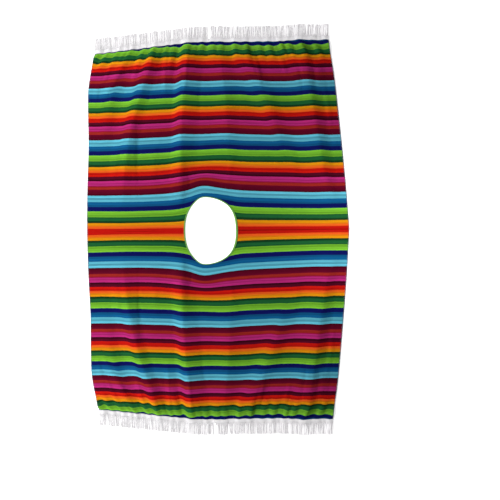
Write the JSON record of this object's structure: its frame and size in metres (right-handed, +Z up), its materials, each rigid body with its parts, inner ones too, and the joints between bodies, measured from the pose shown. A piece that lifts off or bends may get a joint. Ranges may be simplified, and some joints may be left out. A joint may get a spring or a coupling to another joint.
{
  "type": "mexican serape poncho",
  "caption": "Striped serape poncho laid flat, with mirrored bands from the shoulders to the hems, a bound oval neck hole and white fringe along both ends.",
  "frame": {"origin": "middle of the laid garment's outline, on the surface that it lies on", "axes": "+Y towards the back hem, +X to the right of the picture, +Z up off the surface"},
  "size_m": [0.8898, 1.3946, 0.0126],
  "materials": {
    "striped_cloth": "woven stripes, slight sheen",
    "green_binding": "folded tape, matte",
    "white_trim": "twisted yarn, matte"
  },
  "bodies": {
    "root": {"back_panel": "striped_cloth", "front_panel": "striped_cloth", "neck_binding": "green_binding", "back_fringe_left": "white_trim", "back_fringe_right": "white_trim", "front_fringe_left": "white_trim", "front_fringe_right": "white_trim"}
  },
  "joints": []
}
